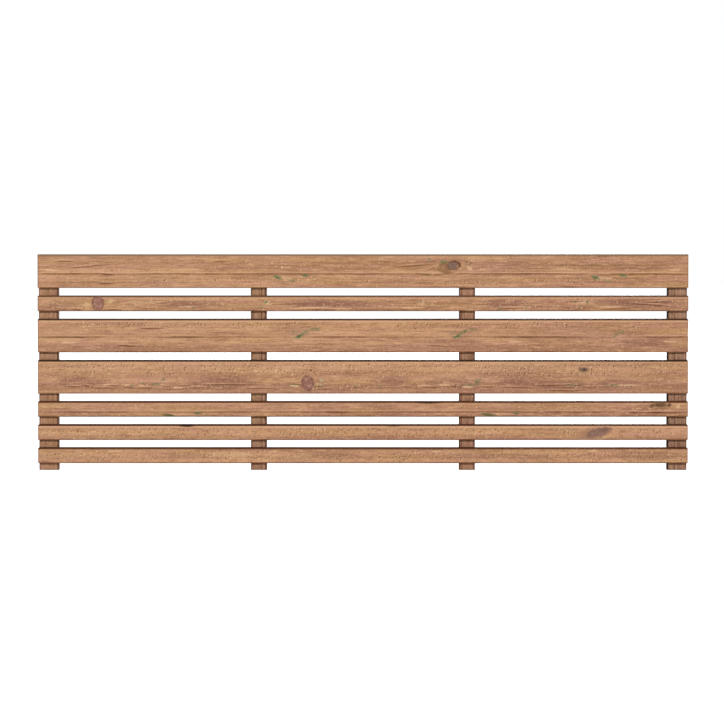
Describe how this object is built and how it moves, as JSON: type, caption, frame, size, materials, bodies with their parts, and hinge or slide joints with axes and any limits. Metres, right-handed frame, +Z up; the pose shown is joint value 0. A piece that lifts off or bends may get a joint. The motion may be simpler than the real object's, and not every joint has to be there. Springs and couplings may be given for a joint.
{
  "type": "wooden fence panel",
  "caption": "Slatted wooden fence panel: horizontal boards of two widths laid across upright battens and stapled to them from behind, with open gaps between the boards.",
  "frame": {"origin": "midway along the panel, at the battens' feet, on the plane where the boards meet the battens", "axes": "+X along the boards to the right as seen from the boards' side, +Y from the boards towards the battens, +Z up"},
  "size_m": [1.8, 0.04, 0.6],
  "materials": {
    "boards": "planed softwood, brown pressure-treated",
    "battens": "planed softwood, brown pressure-treated",
    "staples": "galvanised steel wire"
  },
  "bodies": {
    "root": {"board_1_wide": "boards", "board_2_narrow": "boards", "board_3_wide": "boards", "board_4_wide": "boards", "board_5_narrow": "boards", "board_6_narrow": "boards", "board_7_narrow": "boards", "left_end_batten": "battens", "left_inner_batten": "battens", "right_inner_batten": "battens", "right_end_batten": "battens", "board_1_wide_staples": "staples", "board_2_narrow_staples": "staples", "board_3_wide_staples": "staples", "board_4_wide_staples": "staples", "board_5_narrow_staples": "staples", "board_6_narrow_staples": "staples", "board_7_narrow_staples": "staples"}
  },
  "joints": []
}
